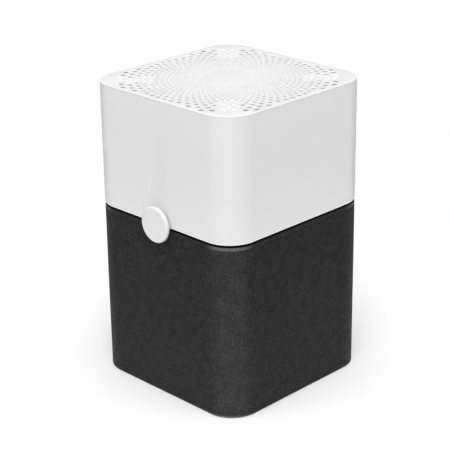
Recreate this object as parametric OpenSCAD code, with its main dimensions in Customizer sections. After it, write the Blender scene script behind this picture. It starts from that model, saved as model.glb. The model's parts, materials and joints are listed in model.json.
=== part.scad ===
// Tower air purifier: a blower unit in a white shell stands on a filter unit
// that wears a knitted pre-filter sleeve. Millimetres, +Z up, front at -Y,
// origin on the floor under the fan's axis.

/* [Body] */
// Width and depth of the body
body_w = 330; // [320:1:345]
// Overall height from the floor to the top grille
body_h = 520; // [500:1:560]
// Plan radius of the four vertical corners
corner_r = 51; // [48:1:56]
// Height of the filter unit, up to the top of its gasket
filter_h = 306.5; // [300:0.5:312]
// Dark gap between the sleeve and the white shell
seam_gap = 2; // [1:0.5:3]
// Wall thickness of the white shell
shell_wall = 2.5; // [2:0.25:3.5]

/* [Grille] */
// Thickness of the perforated top
grille_t = 2.2; // [1.5:0.1:3]
// Holes in each ring
ring_holes = 64; // [48:8:72]
// Number of rings
ring_count = 18; // [10:1:18]
// Radius of the innermost ring
ring_first_r = 46; // [44:1:50]
// Radius of each ring divided by that of the ring inside it
ring_ratio = 1.0825; // [1.075:0.0025:1.085]
// Hole radius divided by the ring's radius
hole_share = 0.028; // [0.02:0.002:0.03]

/* [Button] */
// Radius of the button's face
button_r = 31; // [28:0.5:32]
// How far the button stands out of the shell
button_proud = 11.5; // [10:0.5:12]
// Distance that the button travels before its stem meets the switch
button_travel = 1.5; // [0.8:0.1:1.6]
// Height of the button's axis
button_z = 310; // [308:0.5:312]

/* [Fan] */
// Radius of the impeller over its blade tips
impeller_r = 99; // [90:1:100]
// Number of impeller blades
blade_count = 9; // [5:1:11]
// Number of guide vanes above the impeller
vane_count = 7; // [5:1:9]

/* [Filter] */
// Depth of the pleats
pleat_depth = 28; // [20:1:28]
// Distance between neighbouring pleats
pleat_pitch = 7.5; // [6:0.5:10]

/* [Hidden] */
$fn = 96;

half = body_w / 2;
eps = 0.5;
clear = 0.3;

// Heights in the filter unit
foot_h = 1.8;
foot_r = 12;
foot_xy = 112;
tray_t = 3.2;
cage_z0 = foot_h + tray_t;
gasket_t = 2.5;
frame_top_z = filter_h - gasket_t;
frame_t = 7;
frame_z0 = frame_top_z - frame_t;
column_h = frame_z0 - cage_z0;

// Layers of the filter unit, from the outside in
sleeve_z0 = 0.8;
sleeve_t = 1.8;
cage_half = half - sleeve_t - clear;
cage_r = corner_r - sleeve_t - clear;
cage_t = 1.6;
post_t = 6;
media_out = cage_half - cage_t - 9;
media_in = media_out - pleat_depth;
media_t = 0.8;
media_half_len = 105;
carbon_t = 4;
carbon_out = media_in - 3;
inlet_r = 112;
frame_open_r = 118;

// Button well shared by the sleeve, the filter frame and the chassis
neck_r = 24.5;
neck_clear = 0.6;
notch_r = neck_r + 2.5;
well_r = 36;
well_wall = 2;
well_back_y = -half + 29;

// Heights in the blower unit
shell_z0 = filter_h + seam_gap;
grille_z0 = body_h - grille_t;
shell_in = half - shell_wall;
shell_in_r = corner_r - shell_wall;
plate_t = 3.5;
plate_top_z = filter_h + plate_t;
plate_half = half - 9;
plate_r = corner_r - 9;
guard_t = 3;
shroud_in = impeller_r + 3;
shroud_t = 2.5;
shroud_top_z = 400;
flange_r = 130;
divider_z0 = 432;
divider_t = 2.5;
peg_xy = 135;
peg_r = 4;
peg_len = 8;
peg_clear = 0.6;
post_xy = 128;
boss_r = 6;
screw_r = 1.6;
screw_head_r = 3.2;
flange_screw_r = 124;
flange_screw_count = 6;

// Motor and impeller
shaft_r = 3;
shaft_play = 0.05;
bearing_r = 9.5;
bearing_h = 6;
tube_r = 12;
tube_z0 = 366;
core_r = 24;
core_z0 = 371;
core_h = 18;
tooth_count = 9;
tooth_w = 4;
can_r = 29;
can_t = 2;
can_h = 34;
hub_r = 38;
hub_floor_z0 = 352;
hub_floor_t = 10;
hub_top_z = 400;
carrier_z0 = 404;
carrier_t = 4;
carrier_ring_t = 3;

// Button works, along Y
cap_front_y = -half - button_proud;
cap_t = 6.5;
cap_edge_r = 2.2;
cap_face_t = 3;
neck_wall = 2.5;
neck_back_y = -half + 6.5;
stem_r = 4;
stem_back_y = -half + 12.5;
stem_gap = 0.6;
switch_front_y = stem_back_y + button_travel + stem_gap;
board_front_y = -half + 17.5;
board_t = 1.6;
socket_in = 29.4;
socket_out = 32.4;
socket_front_y = -half + 2.7;
socket_back_t = 2;
spring_r = 6.8;
spring_wire_r = 0.5;
spring_turns = 6;

// Power inlet at the back
gland_x = 100;
gland_z = 326;
gland_bore_r = 3.6;
gland_neck_r = 6;
gland_flange_r = 8.5;
gland_proud = 5;
gland_depth = 7;
gland_nut_t = 5;

// Mains board and the leads, which are held along their whole way
board_x0 = 20;
board_y = 138;
board_len = 66;
board_h = 60;
lead_r = 1.8;
motor_lead_route = [
    [60, 130, 326], [60, 124, 326], [56, 118, 330], [50, 112, 350],
    [49, 110, 380], [48, 108, 400], [46, 104, 413], [44, 100, 416], [42.5, 96.5, 416]
];
control_lead_route = [
    [12, -146, 310], [12, -141, 310.5], [12, -137, 313.5], [30, -134, 313.5],
    [70, -128, 313.5], [110, -112, 313.5], [142, -90, 313.5], [146, -40, 313.5],
    [146, 40, 313.5], [142, 90, 313.5], [120, 116, 313.5], [98, 116, 315],
    [82, 112, 320], [77, 116, 326], [77, 122, 326], [77, 128, 326]
];

// ---- shared shapes ----

module rounded_square(h, r) {
    square([2 * h, 2 * (h - r)], center = true);
    square([2 * (h - r), 2 * h], center = true);
    for (x = [-1, 1], y = [-1, 1])
        translate([x, y] * (h - r)) circle(r);
}

module slab(h, r, z0, t) {
    translate([0, 0, z0]) linear_extrude(t) rounded_square(h, r);
}

module square_tube(h, r, wall, z0, t) {
    translate([0, 0, z0]) linear_extrude(t) difference() {
        rounded_square(h, r);
        rounded_square(h - wall, r - wall);
    }
}

module ring(outer, inner, z0, t) {
    translate([0, 0, z0]) difference() {
        cylinder(r = outer, h = t);
        translate([0, 0, -eps]) cylinder(r = inner, h = t + 2 * eps);
    }
}

// A round bar along +Y on the button's axis
module y_disc(r, y0, y1) {
    translate([0, y0, button_z]) rotate([-90, 0, 0]) cylinder(r = r, h = y1 - y0);
}

module four_sides() {
    for (a = [0:90:270]) rotate([0, 0, a]) children();
}

module at_corners(d) {
    for (x = [-1, 1], y = [-1, 1]) translate([x * d, y * d, 0]) children();
}

// Pan-head screw that points down, its head resting on z = 0
module screw(len) {
    translate([0, 0, -len]) cylinder(r = screw_r, h = len, $fn = 32);
    difference() {
        cylinder(r = screw_head_r, h = 2.2, $fn = 32);
        for (a = [0, 90]) rotate([0, 0, a])
            translate([-2, -0.4, 1.2]) cube([4, 0.8, 2]);
    }
}

// Round tube swept along a list of points; up is never along the path
function unit(v) = v / norm(v);
function tangent(p, i) =
    unit(p[min(i + 1, len(p) - 1)] - p[max(i - 1, 0)]);
function ring_points(c, t, r, n, up) =
    let (u = unit(cross(t, up)), v = cross(t, u))
    [for (j = [0:n - 1]) c + r * (cos(360 * j / n) * u + sin(360 * j / n) * v)];
function smooth(p) = concat(
    [p[0]],
    [for (i = [0:len(p) - 2], f = [0.25, 0.75]) p[i] * (1 - f) + p[i + 1] * f],
    [p[len(p) - 1]]);

module swept_tube(p, r, n, up) {
    last = len(p) - 1;
    points = [for (i = [0:last]) each ring_points(p[i], tangent(p, i), r, n, up)];
    sides = [for (i = [0:last - 1], j = [0:n - 1])
        [i * n + j, i * n + (j + 1) % n, (i + 1) * n + (j + 1) % n, (i + 1) * n + j]];
    start_cap = [[for (j = [n - 1:-1:0]) j]];
    end_cap = [[for (j = [0:n - 1]) last * n + j]];
    polyhedron(points, concat(sides, start_cap, end_cap), convexity = 8);
}

// ---- filter unit ----

module rubber_feet() {
    color("dimgray") at_corners(foot_xy) cylinder(r = foot_r, h = foot_h);
}

module base_tray() {
    rail_half = carbon_out - carbon_t - clear;
    color("gainsboro") {
        slab(cage_half, cage_r, foot_h, tray_t);
        square_tube(rail_half, 3, 2, cage_z0, 10);
    }
}

// Four flat mesh panels, one to a side, that back the sleeve
module filter_cage() {
    rows = 3;
    columns = 5;
    rib = 7;
    rail = 12;
    span = 2 * (half - corner_r);
    window_w = (span - (columns + 1) * rib) / columns;
    window_h = (column_h - (rows + 1) * rail) / rows;
    color("whitesmoke") difference() {
        four_sides() translate([-span / 2, -cage_half, cage_z0]) difference() {
            cube([span, cage_t, column_h]);
            for (i = [0:columns - 1], k = [0:rows - 1])
                translate([rib + i * (window_w + rib), -eps, rail + k * (window_h + rail)])
                    cube([window_w, cage_t + 2 * eps, window_h]);
        }
        y_disc(well_r + well_wall + clear, -half - eps, well_back_y);
    }
}

// Quarter-round posts that carry the sleeve round the corners
module corner_posts() {
    centre = cage_half - cage_r;
    color("whitesmoke") four_sides()
        translate([centre, centre, cage_z0])
            rotate_extrude(angle = 90)
                translate([cage_r - post_t, 0]) square([post_t, column_h]);
}

// Zig-zag sheet between the planes y = -media_out and y = -media_in
module pleat_sheet() {
    folds = floor(2 * media_half_len / pleat_pitch) * 2;
    x0 = -folds * pleat_pitch / 4;
    front = [for (i = [0:folds])
        [x0 + i * pleat_pitch / 2, (i % 2 == 0) ? -media_out : -media_in - media_t * 2]];
    back = [for (i = [folds:-1:0]) front[i] + [0, media_t * 2]];
    polygon(concat(front, back));
}

module pleated_media() {
    color("white") difference() {
        four_sides() translate([0, 0, cage_z0]) linear_extrude(column_h) pleat_sheet();
        y_disc(well_r + well_wall + clear, -half, well_back_y + well_wall + clear);
    }
}

module carbon_panels() {
    color("black") four_sides()
        translate([-media_half_len, -carbon_out, cage_z0])
            cube([2 * media_half_len, carbon_t, column_h]);
}

module filter_top_frame() {
    color("gainsboro") {
        difference() {
            slab(cage_half, cage_r, frame_z0, frame_t);
            cylinder(r = frame_open_r, h = body_h);
            y_disc(well_r, -half - eps, well_back_y);
            at_corners(peg_xy) cylinder(r = peg_r + peg_clear, h = body_h, $fn = 48);
        }
        // Half-round well that the button's socket drops into
        difference() {
            y_disc(well_r + well_wall, -cage_half, well_back_y + well_wall);
            y_disc(well_r, -half - eps, well_back_y);
            translate([-half, -half, frame_z0]) cube([body_w, body_w, body_h]);
        }
    }
}

module filter_gasket() {
    color("darkslategray") ring(flange_r, frame_open_r + 4, frame_top_z, gasket_t);
}

module prefilter_sleeve() {
    color("dimgray") difference() {
        square_tube(half, corner_r, sleeve_t, sleeve_z0, filter_h - sleeve_z0);
        y_disc(notch_r, -half - eps, -half + 10);
    }
}

// ---- blower unit: cover and frame ----

module upper_shell() {
    color("white") difference() {
        square_tube(half, corner_r, shell_wall, shell_z0, grille_z0 - shell_z0);
        y_disc(neck_r + neck_clear, -half - eps, -half + 10);
        translate([gland_x, 0, gland_z]) rotate([-90, 0, 0])
            cylinder(r = gland_neck_r, h = body_w);
    }
}

module grille_holes() {
    reach = half - 10;
    for (k = [0:ring_count - 1], i = [0:ring_holes - 1])
        let (r = ring_first_r * pow(ring_ratio, k),
             a = (i + (k % 2) / 2) * 360 / ring_holes,
             p = [r * cos(a), r * sin(a)])
            if (max(abs(p[0]), abs(p[1])) < reach)
                translate(p) circle(hole_share * r, $fn = 24);
}

module top_grille() {
    color("white") translate([0, 0, grille_z0]) linear_extrude(grille_t) difference() {
        rounded_square(half, corner_r);
        grille_holes();
    }
}

module corner_struts() {
    pad_half = 18;
    pad_t = 9;
    pad_in = 125;
    web_in = 138;
    web_len = 32;
    web_t = 4;
    z0 = divider_z0 + divider_t;
    color("white") intersection() {
        slab(shell_in - clear, shell_in_r - clear, z0, grille_z0 - z0);
        four_sides() rotate([0, 0, 45]) {
            translate([pad_in, -pad_half, grille_z0 - pad_t])
                cube([body_w, 2 * pad_half, pad_t]);
            translate([web_in, -web_t / 2, z0]) cube([web_len, web_t, grille_z0 - z0]);
        }
    }
}

module chassis_plate() {
    color("darkgray") difference() {
        union() {
            slab(plate_half, plate_r, filter_h, plate_t);
            at_corners(post_xy) translate([0, 0, filter_h])
                cylinder(r = boss_r, h = divider_z0 - filter_h);
            at_corners(peg_xy) translate([0, 0, filter_h - peg_len])
                cylinder(r = peg_r, h = peg_len + 1, $fn = 48);
        }
        translate([0, 0, filter_h - eps]) cylinder(r = inlet_r, h = plate_t + 2 * eps);
        y_disc(well_r - 1, -half, well_back_y);
        at_corners(post_xy) translate([0, 0, divider_z0 - 14])
            cylinder(r = screw_r, h = 20, $fn = 32);
        for (i = [0:flange_screw_count - 1])
            rotate([0, 0, (i + 0.5) * 360 / flange_screw_count])
                translate([flange_screw_r, 0, filter_h - eps])
                    cylinder(r = screw_r, h = plate_t + 2 * eps, $fn = 32);
    }
}

module inlet_guard() {
    rings = 6;
    spokes = 12;
    gap = inlet_r / (rings + 0.5);
    color("dimgray") {
        for (i = [1:rings])
            ring(i * gap + 1, i * gap - 1, filter_h, guard_t);
        ring(inlet_r, inlet_r - 4, filter_h, guard_t);
        for (i = [0:spokes - 1]) rotate([0, 0, i * 360 / spokes])
            translate([gap, -0.9, filter_h]) cube([inlet_r - gap - 2, 1.8, guard_t]);
        translate([0, 0, filter_h]) cylinder(r = gap, h = guard_t);
    }
}

module fan_shroud() {
    z0 = plate_top_z;
    flange_t = 3;
    mouth = 14;
    color("gainsboro") difference() {
        rotate_extrude() polygon(concat(
            [[flange_r, z0], [flange_r, z0 + flange_t]],
            [for (a = [90:15:180])
                [shroud_in + shroud_t + mouth + mouth * cos(a),
                 z0 + flange_t + mouth - mouth * sin(a)]],
            [[shroud_in + shroud_t, shroud_top_z], [shroud_in, shroud_top_z]],
            [for (a = [180:-15:90])
                [shroud_in + mouth + mouth * cos(a), z0 + mouth + 1 - (mouth + 1) * sin(a)]]));
        for (i = [0:flange_screw_count - 1])
            rotate([0, 0, (i + 0.5) * 360 / flange_screw_count])
                translate([flange_screw_r, 0, z0 - eps])
                    cylinder(r = screw_r, h = flange_t + 2 * eps, $fn = 32);
    }
}

module air_divider() {
    color("gainsboro") difference() {
        slab(shell_in - clear, shell_in_r - clear, divider_z0, divider_t);
        translate([0, 0, divider_z0 - eps])
            cylinder(r = shroud_in + carrier_ring_t + 0.2, h = divider_t + 2 * eps);
        at_corners(post_xy) translate([0, 0, divider_z0 - eps])
            cylinder(r = screw_r, h = divider_t + 2 * eps, $fn = 32);
    }
}

// ---- motor and impeller ----

module motor_carrier() {
    vane_h = 24;
    color("silver") difference() {
        union() {
            ring(shroud_in + carrier_ring_t, shroud_in, shroud_top_z,
                 divider_z0 + divider_t - shroud_top_z);
            translate([0, 0, carrier_z0]) cylinder(r = hub_r, h = carrier_t);
            translate([0, 0, tube_z0]) cylinder(r = tube_r, h = carrier_z0 - tube_z0 + 1);
            for (i = [0:vane_count - 1]) rotate([0, 0, i * 360 / vane_count])
                translate([hub_r - 3, 0, carrier_z0 + vane_h / 2]) rotate([20, 0, 0])
                    translate([0, -1.2, -vane_h / 2]) cube([shroud_in - hub_r + 4, 2.4, vane_h]);
            translate([0, 0, carrier_z0]) ring(hub_r, hub_r - 3, 0, vane_h);
        }
        translate([0, 0, tube_z0 - eps]) cylinder(r = bearing_r, h = carrier_z0 - tube_z0 + eps);
    }
}

module bearing(z0) {
    color("lightgray") {
        ring(bearing_r, bearing_r - 2, z0, bearing_h);
        ring(shaft_r + 2, shaft_r, z0, bearing_h);
        ring(bearing_r - 2, shaft_r + 2, z0 + 1, bearing_h - 2);
    }
}

module lower_bearing() {
    bearing(tube_z0 + 1);
}

module upper_bearing() {
    bearing(carrier_z0 - bearing_h);
}

module teeth(w, r0, r1, z0, h) {
    for (i = [0:tooth_count - 1]) rotate([0, 0, i * 360 / tooth_count])
        translate([r0, -w / 2, z0]) cube([r1 - r0, w, h]);
}

module stator_core() {
    color("slategray") {
        ring(tube_r + 3, tube_r, core_z0, core_h);
        teeth(tooth_w, tube_r + 2, core_r - 1, core_z0, core_h);
        intersection() {
            ring(core_r, core_r - 2, core_z0, core_h);
            teeth(11, 0, core_r + 1, core_z0, core_h);
        }
    }
}

module motor_windings() {
    inner = tube_r + 4;
    outer = core_r - 2.4;
    wrap = 1.6;
    color("peru") difference() {
        teeth(tooth_w + 2 * wrap, inner, outer, core_z0 - wrap, core_h + 2 * wrap);
        teeth(tooth_w + 0.2, inner - 1, outer + 1, core_z0 - 0.1, core_h + 0.2);
    }
}

// Curved blade section in the plane of the fan's rotation and its axis
module blade_section() {
    chord = 46;
    camber = 9;
    n = 8;
    top = [for (i = [0:n]) [chord * (i / n - 0.5), camber * sin(180 * i / n)]];
    under = [for (i = [n:-1:0])
        [chord * (i / n - 0.5), camber * sin(180 * i / n) - 0.8 - 1.6 * sin(180 * i / n)]];
    polygon(concat(top, under));
}

module impeller() {
    pitch_angle = 42;
    wall = 3;
    mid_z = (hub_floor_z0 + hub_top_z) / 2;
    color("dimgray") difference() {
        union() {
            translate([0, 0, hub_floor_z0]) cylinder(r = hub_r - 6, h = 6);
            translate([0, 0, hub_floor_z0 + 4]) cylinder(r = hub_r, h = hub_top_z - hub_floor_z0 - 4);
            intersection() {
                for (i = [0:blade_count - 1]) rotate([0, 0, i * 360 / blade_count])
                    translate([hub_r - 8, 0, mid_z]) rotate([90, -pitch_angle, 90])
                        linear_extrude(impeller_r) blade_section();
                translate([0, 0, hub_floor_z0]) cylinder(r = impeller_r, h = hub_top_z - hub_floor_z0);
            }
        }
        translate([0, 0, hub_floor_z0 + hub_floor_t]) cylinder(r = hub_r - wall, h = 60);
        translate([0, 0, hub_floor_z0 - eps]) cylinder(r = shaft_r - shaft_play, h = 20);
    }
}

module motor_shaft() {
    color("silver") translate([0, 0, hub_floor_z0 - 9])
        cylinder(r = shaft_r - shaft_play, h = carrier_z0 - 1 - hub_floor_z0 + 9);
}

module rotor_can() {
    z0 = hub_floor_z0 + hub_floor_t;
    color("silver") {
        ring(can_r, can_r - can_t, z0, can_h);
        ring(can_r, shaft_r - shaft_play, z0, can_t);
    }
}

module magnet_ring() {
    color("black") ring(can_r - can_t, core_r + 1, hub_floor_z0 + hub_floor_t + can_t + 2, 28);
}

module lock_nut() {
    color("goldenrod") translate([0, 0, hub_floor_z0 - 7]) difference() {
        cylinder(r = 6, h = 7, $fn = 6);
        translate([0, 0, -eps]) cylinder(r = shaft_r - shaft_play, h = 8);
    }
}

// ---- control button ----

module button_cap() {
    corner = cap_edge_r;
    lug_t = 2;
    lug_w = 8;
    lug_out = 0.9;
    color("white") translate([0, 0, button_z]) rotate([-90, 0, 0]) {
        translate([0, 0, cap_front_y]) {
            // Face with a rounded rim, then the neck as a cup
            rotate_extrude() difference() {
                union() {
                    translate([0, corner]) square([button_r, cap_t - corner]);
                    square([button_r - corner, cap_t]);
                    translate([button_r - corner, corner]) circle(corner);
                }
                translate([stem_r, cap_face_t]) square([neck_r - neck_wall - stem_r, cap_t]);
            }
        }
        ring(neck_r, neck_r - neck_wall, cap_front_y + cap_t, neck_back_y - cap_front_y - cap_t);
        translate([0, 0, cap_front_y + cap_face_t])
            cylinder(r = stem_r, h = stem_back_y - cap_front_y - cap_face_t);
        // Three lugs that keep the cap behind the socket's lip
        for (a = [30:120:270]) rotate([0, 0, a])
            translate([neck_r - 1, -lug_w / 2, neck_back_y - lug_t - 0.2])
                cube([1 + lug_out, lug_w, lug_t]);
    }
}

module button_spring() {
    steps = 12 * spring_turns;
    y0 = cap_front_y + cap_face_t + spring_wire_r;
    y1 = board_front_y - spring_wire_r;
    path = [for (i = [0:steps])
        [spring_r * cos(30 * i), y0 + (y1 - y0) * i / steps, button_z + spring_r * sin(30 * i)]];
    color("silver") swept_tube(path, spring_wire_r - 0.1, 8, [0, 1, 0]);
}

module button_socket() {
    lip_t = 1.3;
    color("dimgray") translate([0, 0, button_z]) rotate([-90, 0, 0]) {
        ring(socket_out, socket_in, socket_front_y, board_front_y + board_t - socket_front_y);
        ring(socket_out, neck_r + neck_clear - 0.2, socket_front_y, lip_t);
        difference() {
            translate([0, 0, board_front_y + board_t]) cylinder(r = socket_out, h = socket_back_t);
            translate([12, 0, board_front_y]) cylinder(r = 4, h = 10);
        }
    }
}

module control_board() {
    color("darkgreen") y_disc(socket_in - 1, board_front_y, board_front_y + board_t);
}

module tact_switch() {
    plunger_t = 1.2;
    color("black") {
        translate([-3, switch_front_y + plunger_t - clear, button_z - 3])
            cube([6, board_front_y - switch_front_y - plunger_t + clear, 6]);
        y_disc(1.7, switch_front_y - clear, switch_front_y + plunger_t);
    }
}

module status_leds() {
    led_r = 17;
    color("aliceblue") for (a = [90:72:378])
        translate([led_r * cos(a) - 1.5, board_front_y - 1.2, button_z + led_r * sin(a) - 1])
            cube([3, 1.2, 2]);
}

// ---- electrics ----

module power_board() {
    color("darkgreen") translate([board_x0, board_y, plate_top_z]) cube([board_len, board_t, board_h]);
}

module board_parts() {
    face = board_y;
    z0 = plate_top_z;
    color("darkgray") {
        translate([board_x0 + 6, face - 16, z0 + 8]) cube([22, 16, 20]);
        translate([board_x0 + 34, face - 8, z0 + 8]) cube([12, 8, 16]);
        for (i = [0:2]) translate([board_x0 + 12 + 15 * i, face, z0 + 45])
            rotate([90, 0, 0]) cylinder(r = 5.5, h = 15, $fn = 48);
        translate([board_x0 + 52, face - 10, z0 + 10]) cube([10, 10, 14]);
    }
}

module cord_gland() {
    inner_end = half - shell_wall - gland_depth;
    color("black") translate([gland_x, 0, gland_z]) rotate([-90, 0, 0]) difference() {
        union() {
            translate([0, 0, half]) cylinder(r = gland_flange_r, h = gland_proud);
            translate([0, 0, inner_end]) cylinder(r = gland_neck_r, h = half - inner_end);
        }
        translate([0, 0, inner_end - eps]) cylinder(r = gland_bore_r, h = half);
    }
}

module gland_nut() {
    color("black") translate([gland_x, half - shell_wall - gland_nut_t, gland_z])
        rotate([-90, 0, 0]) difference() {
            cylinder(r = gland_flange_r + 1.5, h = gland_nut_t, $fn = 6);
            translate([0, 0, -eps]) cylinder(r = gland_neck_r, h = gland_nut_t + 2 * eps);
        }
}

module motor_lead() {
    color("red") swept_tube(smooth(smooth(motor_lead_route)), lead_r, 8, [1, 0, 0]);
}

module control_lead() {
    color("yellow") swept_tube(smooth(smooth(control_lead_route)), lead_r, 8, [0, 0, 1]);
}

// ---- fasteners ----

module shroud_screws() {
    color("silver") for (i = [0:flange_screw_count - 1])
        rotate([0, 0, (i + 0.5) * 360 / flange_screw_count])
            translate([flange_screw_r, 0, plate_top_z + 3]) screw(6);
}

module divider_screws() {
    color("silver") at_corners(post_xy) translate([0, 0, divider_z0 + divider_t]) screw(13);
}

rubber_feet();
base_tray();
filter_cage();
corner_posts();
pleated_media();
carbon_panels();
filter_top_frame();
filter_gasket();
prefilter_sleeve();
upper_shell();
top_grille();
corner_struts();
chassis_plate();
inlet_guard();
fan_shroud();
air_divider();
motor_carrier();
lower_bearing();
upper_bearing();
stator_core();
motor_windings();
impeller();
motor_shaft();
rotor_can();
magnet_ring();
lock_nut();
button_cap();
button_spring();
button_socket();
control_board();
tact_switch();
status_leds();
power_board();
board_parts();
cord_gland();
gland_nut();
motor_lead();
control_lead();
shroud_screws();
divider_screws();
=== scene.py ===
"""Looks of the tower air purifier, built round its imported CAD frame. Metres, front at -Y."""

import json
import math

import bmesh
import bpy
from mathutils import Matrix, Vector, noise


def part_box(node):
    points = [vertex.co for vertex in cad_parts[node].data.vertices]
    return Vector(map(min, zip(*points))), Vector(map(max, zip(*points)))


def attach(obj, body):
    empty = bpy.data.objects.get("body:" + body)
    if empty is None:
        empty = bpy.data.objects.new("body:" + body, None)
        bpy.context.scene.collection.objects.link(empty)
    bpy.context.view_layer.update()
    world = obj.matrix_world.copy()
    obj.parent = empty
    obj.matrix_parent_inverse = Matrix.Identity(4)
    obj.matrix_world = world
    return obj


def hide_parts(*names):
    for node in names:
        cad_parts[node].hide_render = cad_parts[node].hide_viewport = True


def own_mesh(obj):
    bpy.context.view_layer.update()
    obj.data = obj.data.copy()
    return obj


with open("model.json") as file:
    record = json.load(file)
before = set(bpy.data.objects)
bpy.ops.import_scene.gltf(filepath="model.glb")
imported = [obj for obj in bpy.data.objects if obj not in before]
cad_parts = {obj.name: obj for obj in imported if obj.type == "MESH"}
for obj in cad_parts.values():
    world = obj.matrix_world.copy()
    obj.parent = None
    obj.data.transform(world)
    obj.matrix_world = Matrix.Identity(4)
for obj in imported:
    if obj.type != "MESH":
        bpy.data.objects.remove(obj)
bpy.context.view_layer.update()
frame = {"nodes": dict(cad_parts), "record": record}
MM = 0.001
FILTER, BLOWER, BUTTON = "filter_unit", "blower_unit", "control_button"

# ---- places, read from the frame ----

plate_low, plate_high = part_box("top_grille")
wall_low, wall_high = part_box("upper_shell")
cloth_low, cloth_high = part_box("prefilter_sleeve")
cap_low, cap_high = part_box("button_cap")
gland_low, gland_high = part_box("cord_gland")
HALF = plate_high[0]
CORNER_R = 51 * MM
BUTTON_Z = (cap_low[2] + cap_high[2]) / 2
BUTTON_R = (cap_high[0] - cap_low[0]) / 2
GLAND = Vector(((gland_low[0] + gland_high[0]) / 2, HALF, (gland_low[2] + gland_high[2]) / 2))
NECK_R = 24.5 * MM
NOTCH_R = NECK_R + 2.5 * MM
NECK_CLEAR = 0.6 * MM
GLAND_R = 6 * MM
SHELL_T = 2.5 * MM
HEM = 8 * MM
# The body's plan measured along one side and one corner
SIDE_LENGTH = 2 * (HALF - CORNER_R) + math.pi / 2 * CORNER_R

# ---- node helpers ----


def add(tree, kind, props=None, **inputs):
    """A new node. An input's value is a number, a colour or another node's socket."""
    node = tree.nodes.new(kind)
    for key, value in (props or {}).items():
        setattr(node, key, value)
    for key, value in inputs.items():
        numbered = key[0] == "i" and key[1:].isdigit()
        socket = node.inputs[int(key[1:])] if numbered else node.inputs[key.replace("_", " ")]
        if isinstance(value, bpy.types.NodeSocket):
            tree.links.new(value, socket)
        else:
            socket.default_value = value
    return node


def maths(tree, operation, first, second=0.0):
    """One sum of two values or sockets."""
    return add(tree, "ShaderNodeMath", {"operation": operation}, i0=first, i1=second).outputs[0]


def ramp(tree, factor, stops):
    """A colour ramp through (position, colour) stops."""
    node = add(tree, "ShaderNodeValToRGB", Fac=factor)
    elements = node.color_ramp.elements
    for index, (place, colour) in enumerate(stops):
        element = elements[index] if index < 2 else elements.new(place)
        element.position = place
        element.color = (*colour, 1)
    return node.outputs[0]


def grey(value, tint=(1, 1, 1)):
    """A neutral colour, or a tint made paler or darker."""
    return tuple(value * part for part in tint)


def object_point(tree):
    """Position in the object's own metres."""
    return tree.nodes.new("ShaderNodeTexCoord").outputs["Object"]


def speckle(tree, point, scale, detail=3.0):
    """Smooth noise from 0 to 1, with scale blobs to a metre."""
    return add(tree, "ShaderNodeTexNoise", Vector=point, Scale=scale, Detail=detail).outputs[0]


def band(tree, value, near, far):
    """1 where value is at near, smoothly down to 0 at far."""
    node = add(tree, "ShaderNodeMapRange", {"interpolation_type": "SMOOTHSTEP", "clamp": True}, Value=value)
    for index, number in enumerate((near, far, 1.0, 0.0)):
        node.inputs[index + 1].default_value = number
    return node.outputs[0]


def mix(tree, share, first, second):
    """The first colour, turning into the second as share goes from 0 to 1."""
    node = add(tree, "ShaderNodeMix", {"data_type": "RGBA"}, Factor=share)
    for index, colour in ((6, first), (7, second)):
        if isinstance(colour, tuple):
            node.inputs[index].default_value = (*colour, 1)
        else:
            tree.links.new(colour, node.inputs[index])
    return node.outputs[2]


def new_material(name):
    """A material, its node tree and its principled shader."""
    material = bpy.data.materials.new(name)
    material.use_nodes = True
    tree = material.node_tree
    return material, tree, tree.nodes["Principled BSDF"]


def moulded(name, colour, roughness, grain=0.04, grain_size=0.5 * MM, spread=0.03, lip=None):
    """Moulded plastic: a spark-eroded grain, a faint flow pattern and a roughness that varies.

    Where the moulding ends in a thin lip at a height, a band of painted highlight makes the lip white."""
    material, tree, shader = new_material(name)
    point = object_point(tree)
    flow = speckle(tree, point, 14.0)
    darker = tuple(part * (1 - spread) for part in colour)
    base = ramp(tree, flow, [(0.3, darker), (0.7, colour)])
    if lip is not None:
        # Painted highlight: the base colour turns white in a band along the bottom lip
        up = add(tree, "ShaderNodeSeparateXYZ", Vector=point).outputs[2]
        base = mix(tree, band(tree, up, lip + 1.6 * MM, lip + 2.4 * MM), base, (1, 1, 1))
    tree.links.new(base, shader.inputs["Base Color"])
    wear = speckle(tree, point, 40.0, 2.0)
    tree.links.new(ramp(tree, wear, [(0.3, grey(roughness * 0.92)), (0.7, grey(roughness * 1.08))]),
                   shader.inputs["Roughness"])
    fine = speckle(tree, point, 1 / grain_size, 2.0)
    bump = add(tree, "ShaderNodeBump", Strength=grain, Distance=0.1 * MM, Height=fine)
    tree.links.new(bump.outputs[0], shader.inputs["Normal"])
    shader.inputs["Specular IOR Level"].default_value = 0.5
    return material


def metal(name, colour, roughness, brush=(60.0, 60.0, 3000.0)):
    """Turned or brushed metal, with fine lines that run round its axis."""
    material, tree, shader = new_material(name)
    point = add(tree, "ShaderNodeMapping", Vector=object_point(tree), Scale=brush).outputs[0]
    lines = speckle(tree, point, 1.0)
    tree.links.new(ramp(tree, lines, [(0.3, grey(0.75, colour)), (0.75, colour)]),
                   shader.inputs["Base Color"])
    tree.links.new(ramp(tree, lines, [(0.3, grey(roughness * 0.7)), (0.8, grey(roughness * 1.3))]),
                   shader.inputs["Roughness"])
    bump = add(tree, "ShaderNodeBump", Strength=0.15, Distance=0.02 * MM, Height=lines)
    tree.links.new(bump.outputs[0], shader.inputs["Normal"])
    shader.inputs["Metallic"].default_value = 1.0
    return material


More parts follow.
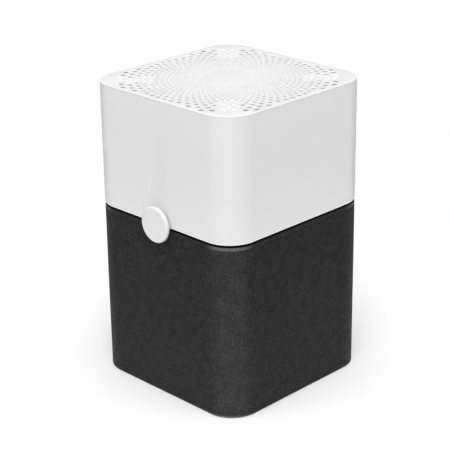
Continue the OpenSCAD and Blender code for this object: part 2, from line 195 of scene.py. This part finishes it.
def knit(name, dark, light, highlight_colour, wale=1.5 * MM, course=1.1 * MM, depth=0.3 * MM):
    """Jersey knit: columns of V-shaped stitches laid out on the cloth's own metre-sized UV map.

    Round the body's corners, and along the hems near them, the colour is lightened into a painted
    highlight; the edge tucked under the shell is darkened into painted shade."""
    material, tree, shader = new_material(name)
    point = object_point(tree)
    cloth = add(tree, "ShaderNodeUVMap", {"uv_map": "cloth"}).outputs[0]
    parts = add(tree, "ShaderNodeSeparateXYZ", Vector=cloth).outputs
    wobble = maths(tree, "MULTIPLY", speckle(tree, point, 160.0), 0.9)
    across = maths(tree, "ADD", maths(tree, "DIVIDE", parts[0], wale), wobble)
    column = maths(tree, "FRACT", across)
    side = maths(tree, "MULTIPLY", maths(tree, "ABSOLUTE", maths(tree, "SUBTRACT", column, 0.5)), 2.0)
    slant = maths(tree, "MULTIPLY", side, 0.8)
    row = maths(tree, "ADD", maths(tree, "DIVIDE", parts[1], course), slant)
    strand = maths(tree, "SINE", maths(tree, "MULTIPLY", maths(tree, "FRACT", row), math.pi))
    leg = maths(tree, "SINE", maths(tree, "MULTIPLY", side, math.pi))
    height = maths(tree, "MULTIPLY", strand, maths(tree, "ADD", maths(tree, "MULTIPLY", leg, 0.6), 0.4))
    fuzz = speckle(tree, point, 900.0, 4.0)
    mottle = speckle(tree, point, 380.0, 1.0)
    cloud = speckle(tree, point, 55.0, 2.0)
    tone = maths(tree, "MULTIPLY", height, 0.3)
    for source, weight in ((fuzz, 0.3), (mottle, 0.6), (cloud, 0.2)):
        tone = maths(tree, "ADD", tone, maths(tree, "MULTIPLY", source, weight))
    plain = ramp(tree, tone, [(0.5, dark), (0.9, light)])
    # Paler knit used for the painted highlight on the corners and hems
    highlight_knit = ramp(tree, tone, [(0.5, grey(0.35, highlight_colour)), (0.95, highlight_colour)])

    # Distance from the nearest corner, along the cloth
    turns = maths(tree, "FRACT", maths(tree, "DIVIDE", parts[0], SIDE_LENGTH))
    from_corner = maths(tree, "MULTIPLY",
                        maths(tree, "ABSOLUTE", maths(tree, "SUBTRACT", turns, 0.5)), SIDE_LENGTH)
    # Painted highlight: the knit is made paler round each corner
    corner_highlight = band(tree, from_corner, 0.012, 0.05)
    up = add(tree, "ShaderNodeSeparateXYZ", Vector=point).outputs[2]
    below_top = maths(tree, "SUBTRACT", cloth_high[2], up)
    # Painted highlight on the hem bands, strongest where they turn the corners
    hem = maths(tree, "ADD", band(tree, below_top, HEM - 0.4 * MM, HEM + 0.4 * MM),
                band(tree, up, cloth_low[2] + 2 * MM, cloth_low[2] + 4 * MM))
    edge = maths(tree, "MULTIPLY", hem, maths(tree, "ADD", maths(tree, "MULTIPLY", corner_highlight, 0.75), 0.05))
    share = maths(tree, "MINIMUM", maths(tree, "ADD", maths(tree, "MULTIPLY", corner_highlight, 0.14), edge), 1.0)
    # Painted shade: the edge tucked under the shell, where the gap's shadow falls, is made near black
    gap_shade = band(tree, below_top, 1.8 * MM, 2.8 * MM)
    colour = mix(tree, gap_shade, mix(tree, share, plain, highlight_knit), (0.001, 0.001, 0.001))
    tree.links.new(colour, shader.inputs["Base Color"])
    relief = maths(tree, "ADD", height, maths(tree, "MULTIPLY", fuzz, 0.35))
    bump = add(tree, "ShaderNodeBump", Strength=0.75, Distance=depth, Height=relief)
    tree.links.new(bump.outputs[0], shader.inputs["Normal"])
    shader.inputs["Roughness"].default_value = 0.75
    shader.inputs["Specular IOR Level"].default_value = 0.06
    shader.inputs["Sheen Weight"].default_value = 0.03
    shader.inputs["Sheen Roughness"].default_value = 0.4
    return material


def fibrous(name, colour, depth=0.2 * MM, scale=700.0, pores=0.5):
    """Felt, foam or nonwoven: open pores over a soft colour drift."""
    material, tree, shader = new_material(name)
    point = object_point(tree)
    cells = add(tree, "ShaderNodeTexVoronoi", Vector=point, Scale=scale).outputs[0]
    drift = speckle(tree, point, 25.0)
    tone = maths(tree, "ADD", maths(tree, "MULTIPLY", cells, pores), maths(tree, "MULTIPLY", drift, 0.5))
    tree.links.new(ramp(tree, tone, [(0.2, grey(0.7, colour)), (0.8, colour)]),
                   shader.inputs["Base Color"])
    bump = add(tree, "ShaderNodeBump", Strength=0.6, Distance=depth, Height=cells)
    tree.links.new(bump.outputs[0], shader.inputs["Normal"])
    shader.inputs["Roughness"].default_value = 0.9
    return material


def circuit_board(name):
    """Green solder mask with copper tracks that show through it and bare pads."""
    material, tree, shader = new_material(name)
    point = object_point(tree)
    tracks = add(tree, "ShaderNodeTexBrick", {"offset": 0.4, "squash": 1.4}, Vector=point,
                 Color1=(0.02, 0.15, 0.07, 1), Color2=(0.015, 0.11, 0.05, 1),
                 Mortar=(0.05, 0.26, 0.12, 1), Scale=220.0, Mortar_Size=0.06)
    tree.links.new(tracks.outputs[0], shader.inputs["Base Color"])
    bump = add(tree, "ShaderNodeBump", Strength=0.3, Distance=0.05 * MM, Height=tracks.outputs[1])
    tree.links.new(bump.outputs[0], shader.inputs["Normal"])
    shader.inputs["Roughness"].default_value = 0.35
    return material


def windings(name):
    """Enamelled copper wire in close turns."""
    material, tree, shader = new_material(name)
    wire = add(tree, "ShaderNodeTexWave", {"bands_direction": "Z"}, Vector=object_point(tree),
               Scale=700.0, Distortion=0.4)
    tree.links.new(ramp(tree, wire.outputs[1], [(0.1, (0.25, 0.08, 0.03)), (0.7, (0.8, 0.36, 0.16))]),
                   shader.inputs["Base Color"])
    bump = add(tree, "ShaderNodeBump", Strength=0.8, Distance=0.2 * MM, Height=wire.outputs[1])
    tree.links.new(bump.outputs[0], shader.inputs["Normal"])
    shader.inputs["Metallic"].default_value = 0.8
    shader.inputs["Roughness"].default_value = 0.35
    return material


def clear_lens(name):
    """A smooth, faintly blue lens."""
    material, tree, shader = new_material(name)
    haze = speckle(tree, object_point(tree), 500.0)
    tint = ramp(tree, haze, [(0.3, (0.75, 0.82, 0.9)), (0.8, (0.9, 0.94, 1))])
    tree.links.new(tint, shader.inputs["Base Color"])
    shader.inputs["Roughness"].default_value = 0.12
    return material


MATERIALS = {
    # The shell's bottom lip gets the painted highlight band
    "white_shell": moulded("white_shell", (0.76, 0.76, 0.76), 0.45, grain=0.015, spread=0.004,
                           lip=wall_low[2]),
    "white_button": moulded("white_button", (0.75, 0.75, 0.75), 0.3, grain=0.015, spread=0.004),
    "knit_fabric": knit("knit_fabric", (0.003, 0.003, 0.003), (0.038, 0.038, 0.038), (0.19, 0.19, 0.19)),
    "dark_plastic": moulded("dark_plastic", (0.022, 0.022, 0.024), 0.45, grain=0.12),
    "grey_plastic": moulded("grey_plastic", (0.42, 0.43, 0.44), 0.45, grain=0.12),
    "natural_plastic": moulded("natural_plastic", (0.7, 0.7, 0.67), 0.5, grain=0.1),
    "filter_media": fibrous("filter_media", (0.82, 0.82, 0.79)),
    "carbon_foam": fibrous("carbon_foam", (0.02, 0.02, 0.021), depth=0.6 * MM, scale=350.0),
    "gasket_foam": fibrous("gasket_foam", (0.05, 0.05, 0.055), depth=0.3 * MM, scale=900.0),
    "rubber": moulded("rubber", (0.03, 0.03, 0.03), 0.75, grain=0.3, grain_size=0.3 * MM),
    "steel": metal("steel", (0.62, 0.62, 0.63), 0.3),
    "core_steel": metal("core_steel", (0.14, 0.14, 0.15), 0.45, brush=(20.0, 20.0, 2000.0)),
    "copper": windings("copper"),
    "brass": metal("brass", (0.72, 0.53, 0.24), 0.3),
    "circuit_board": circuit_board("circuit_board"),
    "led_lens": clear_lens("led_lens"),
    "wire_sleeve": moulded("wire_sleeve", (0.04, 0.04, 0.042), 0.55, grain=0.25),
}

# ---- mesh helpers ----


def outline(step=4 * MM, arc_steps=20):
    """The body's plan as (point, outward normal, distance along it), from the middle of the back."""
    flat = HALF - CORNER_R
    count = max(1, round(2 * flat / step))
    places = []
    for side in range(4):
        turn = Matrix.Rotation(math.radians(180 + 90 * side), 2)
        start = count // 2 if side == 0 else 0
        for i in range(start, count):
            places.append((turn @ Vector((-flat + 2 * flat * i / count, -HALF)), turn @ Vector((0, -1))))
        for i in range(arc_steps):
            a = math.radians(90 * i / arc_steps)
            normal = Vector((math.sin(a), -math.cos(a)))
            places.append((turn @ (Vector((flat, -flat)) + CORNER_R * normal), turn @ normal))
    for i in range(count // 2):
        turn = Matrix.Rotation(math.radians(180), 2)
        places.append((turn @ Vector((-flat + 2 * flat * i / count, -HALF)), turn @ Vector((0, -1))))
    result, along = [], 0.0
    for i, (point, normal) in enumerate(places):
        if i:
            along += (point - places[i - 1][0]).length
        result.append((point, normal, along))
    return result


def finish_piece(mesh, name, body, slot, angle=40):
    """Makes an object of a mesh, smooths it by angle, and gives it its material, body and slot."""
    piece = bpy.data.objects.new(name, mesh)
    bpy.context.scene.collection.objects.link(piece)
    mesh.materials.clear()
    mesh.materials.append(MATERIALS[slot])
    mesh.shade_smooth()
    mesh.set_sharp_from_angle(angle=math.radians(angle))
    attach(piece, body)
    return piece


def swept_wall(name, profile, places, relief=None):
    """A closed skin: each (offset, height) of the profile swept round the plan, with a metre UV map."""
    work = bmesh.new()
    uv_layer = work.loops.layers.uv.new("cloth")
    rings = []
    for offset, height in profile:
        ring = []
        for point, normal, along in places:
            lift = relief(along, height) if relief else 0.0
            flat = point + normal * (offset + lift)
            ring.append(work.verts.new((flat.x, flat.y, height)))
        rings.append(ring)
    run = [0.0]
    for (o0, z0), (o1, z1) in zip(profile, profile[1:] + profile[:1]):
        run.append(run[-1] + math.hypot(o1 - o0, z1 - z0))
    total = places[-1][2] + (places[0][0] - places[-1][0]).length
    for i in range(len(profile)):
        low, high = rings[i], rings[(i + 1) % len(profile)]
        for j in range(len(places)):
            k = (j + 1) % len(places)
            face = work.faces.new((low[j], low[k], high[k], high[j]))
            u0, u1 = places[j][2], places[k][2] if k else total
            v0, v1 = run[i], run[i + 1]
            for loop, uv in zip(face.loops, ((u0, v0), (u1, v0), (u1, v1), (u0, v1))):
                loop[uv_layer].uv = uv
    bmesh.ops.recalc_face_normals(work, faces=work.faces)
    mesh = bpy.data.meshes.new(name)
    work.to_mesh(mesh)
    work.free()
    return mesh


def lathe(name, profile, steps, place):
    """A solid of revolution: (radius, distance) points turned about an axis, then set by a matrix."""
    work = bmesh.new()
    rings = []
    for radius, far in profile:
        if radius < 1e-7:
            rings.append([work.verts.new((0, 0, far))])
            continue
        turn = [2 * math.pi * i / steps for i in range(steps)]
        rings.append([work.verts.new((radius * math.cos(a), radius * math.sin(a), far)) for a in turn])
    for low, high in zip(rings, rings[1:]):
        for j in range(steps):
            k = (j + 1) % steps
            corners = [low[j % len(low)], low[k % len(low)], high[k % len(high)], high[j % len(high)]]
            work.faces.new(list(dict.fromkeys(corners)))
    bmesh.ops.recalc_face_normals(work, faces=work.faces)
    work.transform(place)
    mesh = bpy.data.meshes.new(name)
    work.to_mesh(mesh)
    work.free()
    return mesh


def arc(centre, radius, start, end, steps):
    """Points on a circle's arc, from angle start to end in degrees."""
    angles = [math.radians(start + (end - start) * i / steps) for i in range(steps + 1)]
    return [(centre[0] + radius * math.cos(a), centre[1] + radius * math.sin(a)) for a in angles]


def bar_cutter(radius, start, end, steps=96):
    """A scratch cylinder between two points, used to cut a hole and then deleted."""
    work = bmesh.new()
    length = (end - start).length
    bmesh.ops.create_cone(work, cap_ends=True, segments=steps, radius1=radius, radius2=radius, depth=length)
    aim = (end - start).to_track_quat("Z", "Y").to_matrix().to_4x4()
    work.transform(Matrix.Translation((start + end) / 2) @ aim)
    mesh = bpy.data.meshes.new("cutter")
    work.to_mesh(mesh)
    work.free()
    cutter = bpy.data.objects.new("cutter", mesh)
    bpy.context.scene.collection.objects.link(cutter)
    return cutter


def cut(mesh, cutters, bevel=0.0):
    """The mesh less each cutter, with the cut's sharp edges rounded."""
    scratch = bpy.data.objects.new("scratch", mesh)
    bpy.context.scene.collection.objects.link(scratch)
    for cutter in cutters:
        modifier = scratch.modifiers.new("cut", "BOOLEAN")
        modifier.object, modifier.operation, modifier.solver = cutter, "DIFFERENCE", "EXACT"
    if bevel:
        modifier = scratch.modifiers.new("round", "BEVEL")
        modifier.width, modifier.segments = bevel, 3
        modifier.limit_method, modifier.angle_limit = "ANGLE", math.radians(60)
        modifier.use_clamp_overlap = True
    result = bpy.data.meshes.new_from_object(
        scratch.evaluated_get(bpy.context.evaluated_depsgraph_get()))
    for done in (scratch, *cutters):
        bpy.data.objects.remove(done)
    return result


# ---- white shell ----

FRONT = Vector((0, -1, 0))


def button_axis(y):
    """The point of the button's axis at y."""
    return Vector((0, y, BUTTON_Z))


def shell_wall():
    """The shell's four walls as one moulding, with a chamfered lip over the sleeve."""
    low, high = wall_low[2], wall_high[2]
    lip = 1.2 * MM
    profile = [(-SHELL_T, high), (-SHELL_T, low + 0.4 * MM)]
    profile += [(-SHELL_T + 0.4 * MM, low), (-0.9 * MM, low)]
    profile += [(-0.7 * MM, low + 0.08 * MM), (-0.2 * MM, low + lip - 0.35 * MM)]
    profile += [(-0.06 * MM, low + lip), (0, low + lip + 0.4 * MM), (0, high)]
    mesh = swept_wall("shell_wall", profile, outline(arc_steps=32))
    reach = 10 * MM
    cutters = [
        bar_cutter(NECK_R + NECK_CLEAR, button_axis(-HALF - reach), button_axis(-HALF + reach), 128),
        bar_cutter(GLAND_R, GLAND - Vector((0, reach, 0)), GLAND + Vector((0, reach, 0))),
    ]
    piece = finish_piece(cut(mesh, cutters, bevel=0.35 * MM), "shell_wall", BLOWER, "white_shell")
    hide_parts("upper_shell")


RING_HOLES, RING_COUNT = 64, 18
RING_FIRST_R, RING_RATIO, HOLE_SHARE = 46 * MM, 1.0825, 0.028
HOLE_REACH, HOLE_SIDES = 155 * MM, 20


def grille_holes():
    """Centre and radius of each hole: rings that grow by a fixed ratio, every other one turned."""
    for k in range(RING_COUNT):
        ring_r = RING_FIRST_R * RING_RATIO**k
        for i in range(RING_HOLES):
            a = 2 * math.pi * (i + (k % 2) / 2) / RING_HOLES
            centre = Vector((ring_r * math.cos(a), ring_r * math.sin(a)))
            if max(abs(centre.x), abs(centre.y)) < HOLE_REACH:
                yield centre, HOLE_SHARE * ring_r


def closed_spline(curve, points):
    """A closed outline of straight pieces in a flat curve."""
    spline = curve.splines.new("POLY")
    spline.points.add(len(points) - 1)
    for place, point in zip(spline.points, points):
        place.co = (point[0], point[1], 0, 1)
    spline.use_cyclic_u = True


def grille_plate():
    """The perforated top: a filled outline with holes, and a small round on every edge."""
    low, high = plate_low[2], plate_high[2]
    edge = 0.35 * MM
    curve = bpy.data.curves.new("grille_plate", "CURVE")
    curve.dimensions, curve.fill_mode = "2D", "BOTH"
    curve.extrude = (high - low) / 2 - edge
    curve.bevel_depth, curve.bevel_resolution, curve.offset = edge, 3, -edge
    closed_spline(curve, [point for point, _, _ in outline(step=60 * MM, arc_steps=32)])
    for centre, radius in grille_holes():
        turn = [2 * math.pi * i / HOLE_SIDES for i in range(HOLE_SIDES)]
        closed_spline(curve, [centre + radius * Vector((math.cos(a), math.sin(a))) for a in turn])
    scratch = bpy.data.objects.new("scratch", curve)
    bpy.context.scene.collection.objects.link(scratch)
    mesh = bpy.data.meshes.new_from_object(
        scratch.evaluated_get(bpy.context.evaluated_depsgraph_get()))
    bpy.data.objects.remove(scratch)
    work = bmesh.new()
    work.from_mesh(mesh)
    bmesh.ops.remove_doubles(work, verts=work.verts, dist=0.005 * MM)
    bmesh.ops.recalc_face_normals(work, faces=work.faces)
    work.transform(Matrix.Translation((0, 0, (low + high) / 2)))
    work.to_mesh(mesh)
    work.free()
    piece = finish_piece(mesh, "grille_plate", BLOWER, "white_shell", angle=35)
    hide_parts("top_grille")


def button_face():
    """The push button: a barely domed face with a round rim, and the neck that it slides on."""
    rim, rim_depth, thick = 4.5 * MM, 3.4 * MM, 6.5 * MM
    wall, stem, face_t = 2.5 * MM, 4 * MM, 3 * MM
    neck_end, stem_end = cap_high[1] - cap_low[1] - 6 * MM, cap_high[1] - cap_low[1]
    dome = 0.5 * MM
    flat = BUTTON_R - rim
    profile = [(flat * i / 8, dome * (i / 8) ** 2) for i in range(9)]
    profile += [(flat + rim * math.sin(a), dome + rim_depth * (1 - math.cos(a)))
                for a in [math.radians(9 * i) for i in range(1, 11)]]
    profile += [(BUTTON_R, thick - 0.5 * MM), (BUTTON_R - 0.15 * MM, thick - 0.15 * MM),
                (BUTTON_R - 0.5 * MM, thick), (NECK_R + 0.5 * MM, thick), (NECK_R, thick + 0.5 * MM),
                (NECK_R, neck_end), (NECK_R - wall, neck_end), (NECK_R - wall, face_t),
                (stem, face_t), (stem, stem_end), (0, stem_end)]
    place = Matrix.Translation((0, cap_low[1], BUTTON_Z)) @ Matrix.Rotation(math.radians(-90), 4, "X")
    piece = finish_piece(lathe("button_face", profile, 128, place), "button_face", BUTTON, "white_button")
    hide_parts("button_cap")


# ---- knitted sleeve ----

ROLL_R = 5 * MM


def stretch(along, height):
    """How far the stretched knit stands in or out: slow waves that fade at the hems."""
    slow = noise.noise(Vector((along * 9, height * 7, 3.1)))
    pull = noise.noise(Vector((along * 40, height * 5, 8.7)))
    middle = math.sin(math.pi * min(max((height - cloth_low[2]) / (cloth_high[2] - cloth_low[2]), 0), 1))
    return (0.25 + 0.25 * slow + 0.12 * pull) * MM * middle


def sleeve_profile():
    """Section of the sleeve from its tucked-in top edge, down the outside, and up the inside."""
    low, high = cloth_low[2], cloth_high[2]
    cloth_t = 1.5 * MM
    tuck = 10 * MM
    outside = [(-tuck, high - 0.9 * MM), (-tuck + 0.7 * MM, high - 0.25 * MM)]
    outside += arc((-ROLL_R, high - ROLL_R), ROLL_R - 0.1 * MM, 90, 8, 8)
    groove = high - HEM
    outside += [(0, groove + 1.2 * MM), (-0.12 * MM, groove + 0.5 * MM), (-0.55 * MM, groove),
                (-0.3 * MM, groove - 0.5 * MM), (-0.05 * MM, groove - 1.3 * MM)]
    rows = 44
    top, bottom = groove - 4 * MM, low + HEM + 4 * MM
    outside += [(0, top + (bottom - top) * i / rows) for i in range(rows + 1)]
    groove = low + HEM
    outside += [(-0.05 * MM, groove + 1.3 * MM), (-0.3 * MM, groove + 0.5 * MM), (-0.55 * MM, groove),
                (-0.12 * MM, groove - 0.5 * MM), (0, groove - 1.2 * MM)]
    outside += arc((-1.4 * MM, low + 1.4 * MM), 1.4 * MM, 0, -90, 4)
    inside = [(-cloth_t - 0.25 * MM, low + 0.5 * MM), (-cloth_t - 0.25 * MM, high - ROLL_R)]
    inside += arc((-ROLL_R, high - ROLL_R), ROLL_R - cloth_t, 10, 90, 5)
    inside += [(-tuck + 0.7 * MM, high - cloth_t)]
    return outside + inside


def stitches(name, height, offset, pitch=3.4 * MM, thread=0.26 * MM):
    """A row of short thread loops round the sleeve, left out where the button's notch is."""
    places = outline(step=2 * MM, arc_steps=40)
    work = bmesh.new()
    total = places[-1][2]
    index, sides = 0, 6
    shape = [(-1.05, 0.15), (-0.8, 0.8), (0.0, 1.0), (0.8, 0.8), (1.05, 0.15)]
    for n in range(int(total / pitch)):
        middle = n * pitch
        while index + 1 < len(places) and places[index + 1][2] < middle:
            index += 1
        point, normal, _ = places[index]
        if math.hypot(point.x, height - BUTTON_Z) < NOTCH_R + 1 * MM and point.y < 0:
            continue
        tangent = Vector((-normal.y, normal.x, 0))
        out = Vector((normal.x, normal.y, 0))
        centre = Vector((point.x, point.y, height)) + out * offset
        rings = []
        for along, fat in shape:
            ring = []
            for s in range(sides):
                a = 2 * math.pi * s / sides
                spoke = out * (math.cos(a) * fat * thread) + Vector((0, 0, math.sin(a) * fat * thread))
                ring.append(work.verts.new(centre + tangent * (along * 1.1 * MM) + spoke))
            rings.append(ring)
        for low, high in zip(rings, rings[1:]):
            for s in range(sides):
                t = (s + 1) % sides
                work.faces.new((low[s], low[t], high[t], high[s]))
        work.faces.new(rings[0][::-1])
        work.faces.new(rings[-1])
    bmesh.ops.recalc_face_normals(work, faces=work.faces)
    mesh = bpy.data.meshes.new(name)
    work.to_mesh(mesh)
    work.free()
    return finish_piece(mesh, name, FILTER, "knit_fabric", angle=80)


def tube(name, path, radius, sides=10):
    """A round strip along a path of points, closed at both ends."""
    work = bmesh.new()
    rings = []
    for i, point in enumerate(path):
        ahead = (path[min(i + 1, len(path) - 1)] - path[max(i - 1, 0)]).normalized()
        side = ahead.cross(FRONT).normalized()
        up = side.cross(ahead)
        ring = []
        for s in range(sides):
            a = 2 * math.pi * s / sides
            ring.append(work.verts.new(point + radius * (math.cos(a) * side + math.sin(a) * up)))
        rings.append(ring)
    for low, high in zip(rings, rings[1:]):
        for s in range(sides):
            t = (s + 1) % sides
            work.faces.new((low[s], low[t], high[t], high[s]))
    work.faces.new(rings[0][::-1])
    work.faces.new(rings[-1])
    bmesh.ops.recalc_face_normals(work, faces=work.faces)
    mesh = bpy.data.meshes.new(name)
    work.to_mesh(mesh)
    work.free()
    return mesh


def sleeve():
    """The knitted pre-filter: cloth, its notch binding, hem stitches and back seam."""
    mesh = swept_wall("sleeve_cloth", sleeve_profile(), outline(), relief=stretch)
    notch = bar_cutter(NOTCH_R, button_axis(-HALF - 10 * MM), button_axis(-HALF + 25 * MM), 128)
    cloth = finish_piece(cut(mesh, [notch]), "sleeve_cloth", FILTER, "knit_fabric", angle=50)
    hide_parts("prefilter_sleeve")

    # Binding round the half-round notch
    bind_r = NOTCH_R + 0.5 * MM
    drop = math.asin((BUTTON_Z - cloth_high[2] + 1 * MM) / bind_r)
    turns = [math.pi + drop + (math.pi - 2 * drop) * i / 60 for i in range(61)]
    path = [Vector((bind_r * math.cos(a), -HALF + 0.75 * MM, BUTTON_Z + bind_r * math.sin(a)))
            for a in turns]
    binding = finish_piece(tube("notch_binding", path, 0.9 * MM), "notch_binding", FILTER,
                           "knit_fabric", 80)

    # Overlocked seam down the middle of the back
    rows = 120
    low, high = cloth_low[2] + 1.5 * MM, cloth_high[2] - ROLL_R
    ridge = [Vector((0.9 * MM * math.sin(i * 2.1), HALF + 0.05 * MM, low + (high - low) * i / rows))
             for i in range(rows + 1)]
    seam = finish_piece(tube("sleeve_seam", ridge, 0.7 * MM, 8), "sleeve_seam", FILTER, "knit_fabric", 80)

    top = stitches("hem_stitches_top", cloth_high[2] - HEM, -0.4 * MM)
    bottom = stitches("hem_stitches_bottom", cloth_low[2] + HEM, -0.4 * MM)


# ---- CAD nodes that keep their own shape ----


def dress_cad_nodes():
    """Gives every CAD node the material of its slot, and gives the return spring a mesh of its own."""
    slots = {row["node"]: row["material_slot"] for row in frame["record"]["subparts"]}
    for name, node in frame["nodes"].items():
        node.data.materials.clear()
        node.data.materials.append(MATERIALS[slots[name]])
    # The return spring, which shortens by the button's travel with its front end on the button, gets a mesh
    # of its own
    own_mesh(frame["nodes"]["button_spring"])


# ---- stage, lights and camera ----


def stage():
    """A round pale floor in a white surround."""
    bpy.ops.mesh.primitive_circle_add(vertices=128, radius=0.75, fill_type="NGON")
    floor = bpy.context.object
    floor.name = "floor"
    material, tree, shader = new_material("floor_paint")
    shader.inputs["Base Color"].default_value = (0.9, 0.9, 0.9, 1)
    shader.inputs["Roughness"].default_value = 0.8
    shader.inputs["Specular IOR Level"].default_value = 0.1
    floor.data.materials.append(material)


def soft_light(name, azimuth, elevation, spread, strength):
    """A large, distant softbox. Azimuth 0 is in front, 90 to the right; spread is its width in degrees."""
    light = bpy.data.lights.new(name, "SUN")
    light.energy, light.angle = strength, math.radians(spread)
    lamp = bpy.data.objects.new(name, light)
    a, e = math.radians(azimuth), math.radians(elevation)
    towards = Vector((math.sin(a) * math.cos(e), -math.cos(a) * math.cos(e), math.sin(e)))
    lamp.location = 3 * towards
    lamp.rotation_euler = towards.to_track_quat("Z", "Y").to_euler()
    bpy.context.scene.collection.objects.link(lamp)


def lights():
    """A surround that looks white and lights little, and softboxes from the front, above and behind."""
    world = bpy.data.worlds.new("studio")
    bpy.context.scene.world = world
    world.use_nodes = True
    tree = world.node_tree
    seen = tree.nodes["Background"]
    seen.inputs["Color"].default_value = (1, 1, 1, 1)
    seen.inputs["Strength"].default_value = 1.0
    fill = add(tree, "ShaderNodeBackground", Color=(1, 1, 1, 1), Strength=0.05)
    path = tree.nodes.new("ShaderNodeLightPath")
    surround = add(tree, "ShaderNodeMixShader", i0=path.outputs["Is Camera Ray"],
                   i1=fill.outputs[0], i2=seen.outputs[0])
    tree.links.new(surround.outputs[0], tree.nodes["World Output"].inputs["Surface"])
    soft_light("key", 42, 34, 45, 1.95)
    soft_light("left", -15, 30, 60, 1.03)
    soft_light("right", 105, 30, 60, 0.97)
    soft_light("overhead", 0, 90, 50, 1.5)
    soft_light("back_left", 285, 20, 40, 0.6)
    soft_light("back_right", 165, 20, 40, 0.6)


def camera():
    """The three-quarter view from the right of the front, a little above the top."""
    azimuth, elevation, roll = (math.radians(v) for v in (45.0, 21.97, -0.733))
    distance, aim = 2.4917, Vector((0, 0, 0.25856))
    back = Vector((math.sin(azimuth) * math.cos(elevation),
                   -math.cos(azimuth) * math.cos(elevation), math.sin(elevation)))
    right = Vector((math.cos(azimuth), math.sin(azimuth), 0))
    up = back.cross(right)
    tilted_right = right * math.cos(roll) + up * math.sin(roll)
    tilted_up = up * math.cos(roll) - right * math.sin(roll)
    data = bpy.data.cameras.new("camera")
    data.sensor_width, data.lens, data.shift_x = 36, 116.1, -0.0118
    data.clip_end = 100
    view = bpy.data.objects.new("camera", data)
    turn = Matrix((tilted_right, tilted_up, back)).transposed().to_4x4()
    view.matrix_world = Matrix.Translation(aim + distance * back) @ turn
    bpy.context.scene.collection.objects.link(view)
    bpy.context.scene.camera = view


camera()
lights()
stage()
bpy.context.scene.view_settings.view_transform = "Standard"
dress_cad_nodes()
shell_wall()
grille_plate()
button_face()
sleeve()
